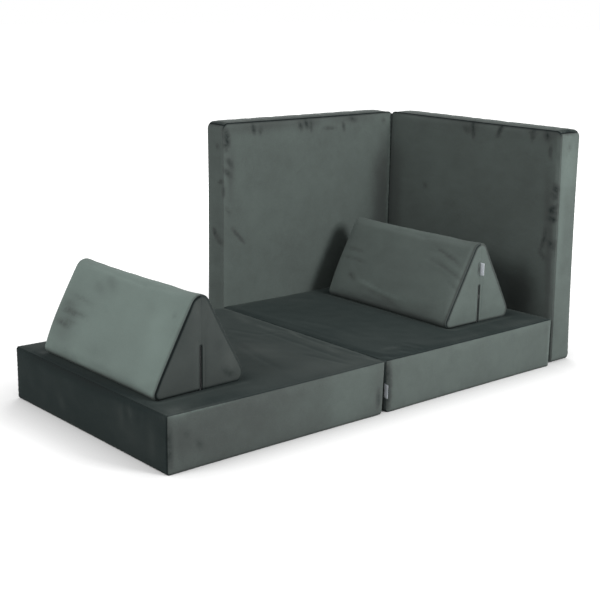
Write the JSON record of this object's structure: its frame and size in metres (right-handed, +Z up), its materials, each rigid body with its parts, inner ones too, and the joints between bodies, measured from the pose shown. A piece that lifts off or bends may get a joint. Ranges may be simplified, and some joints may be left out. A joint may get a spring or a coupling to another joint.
{
  "type": "modular foam play sofa",
  "caption": "Velvet foam play sofa: folding seat blocks, a folding wall that stands round one corner, and loose triangular bolsters.",
  "frame": {"origin": "on the floor, under the middle of the whole set's bounding box", "axes": "+X from the free seat block towards the side wall, +Y from the front towards the back wall, +Z up"},
  "size_m": [1.5634, 0.856, 0.742],
  "materials": {
    "velvet": "short-pile velvet, dark green-grey",
    "foam": "open-cell foam",
    "zip_tape": "woven polyester tape",
    "zip_coil": "nylon coil",
    "zip_slider": "black lacquered zinc",
    "tag": "white satin tape"
  },
  "bodies": {
    "seat_right": {"seat_right_cover": "velvet", "seat_right_foam": "foam", "seat_right_zip_tape": "zip_tape", "seat_right_zip_coil": "zip_coil", "seat_fold_seam": "velvet", "seat_tag": "tag"},
    "seat_left": {"seat_left_cover": "velvet", "seat_left_foam": "foam", "seat_left_zip_tape": "zip_tape", "seat_left_zip_coil": "zip_coil"},
    "side_wall": {"side_wall_cover": "velvet", "side_wall_foam": "foam", "side_wall_zip_tape": "zip_tape", "side_wall_zip_coil": "zip_coil", "wall_fold_seam": "velvet"},
    "back_wall": {"back_wall_cover": "velvet", "back_wall_foam": "foam", "back_wall_zip_tape": "zip_tape", "back_wall_zip_coil": "zip_coil"},
    "bolster_left": {"bolster_left_cover": "velvet", "bolster_left_foam": "foam", "bolster_left_zip_tape": "zip_tape", "bolster_left_zip_coil": "zip_coil"},
    "bolster_right": {"bolster_right_cover": "velvet", "bolster_right_foam": "foam", "bolster_right_zip_tape": "zip_tape", "bolster_right_zip_coil": "zip_coil", "bolster_tag": "tag"},
    "seat_left_slider": {"seat_left_zip_slider": "zip_slider"},
    "seat_right_slider": {"seat_right_zip_slider": "zip_slider"},
    "back_wall_slider": {"back_wall_zip_slider": "zip_slider"},
    "side_wall_slider": {"side_wall_zip_slider": "zip_slider"},
    "bolster_left_slider": {"bolster_left_zip_slider": "zip_slider"},
    "bolster_right_slider": {"bolster_right_zip_slider": "zip_slider"}
  },
  "joints": [
    {"name": "seat_fold", "type": "hinge", "parent": "seat_right", "child": "seat_left", "pos_m": [-0.0465, -0.035, 0.151], "axis": [0, -1, 0], "range_deg": [-105, 0]},
    {"name": "walls_pull_away", "type": "slide", "parent": "seat_right", "child": "side_wall", "axis": [0.7071, 0.7071, 0], "range_m": [0, 0.3]},
    {"name": "wall_fold", "type": "hinge", "parent": "side_wall", "child": "back_wall", "pos_m": [0.7007, 0.347, 0.371], "axis": [0, 0, 1], "range_deg": [-90, 0]},
    {"name": "bolster_left_lift", "type": "slide", "parent": "seat_left", "child": "bolster_left", "axis": [0, 0, 1], "range_m": [0, 0.3]},
    {"name": "bolster_right_lift", "type": "slide", "parent": "seat_right", "child": "bolster_right", "axis": [0, 0, 1], "range_m": [0, 0.3]},
    {"name": "seat_left_zip", "type": "slide", "parent": "seat_left", "child": "seat_left_slider", "axis": [1, 0, 0], "range_m": [0, 0.648]},
    {"name": "seat_right_zip", "type": "slide", "parent": "seat_right", "child": "seat_right_slider", "axis": [1, 0, 0], "range_m": [0, 0.648]},
    {"name": "side_wall_zip", "type": "slide", "parent": "side_wall", "child": "side_wall_slider", "axis": [0, 0, 1], "range_m": [0, 0.656]},
    {"name": "back_wall_zip", "type": "slide", "parent": "back_wall", "child": "back_wall_slider", "axis": [0, 0, 1], "range_m": [0, 0.656]},
    {"name": "bolster_left_zip", "type": "slide", "parent": "bolster_left", "child": "bolster_left_slider", "axis": [0, 0, 1], "range_m": [-0.096, 0]},
    {"name": "bolster_right_zip", "type": "slide", "parent": "bolster_right", "child": "bolster_right_slider", "axis": [0, 0, 1], "range_m": [-0.068, 0.028]}
  ]
}
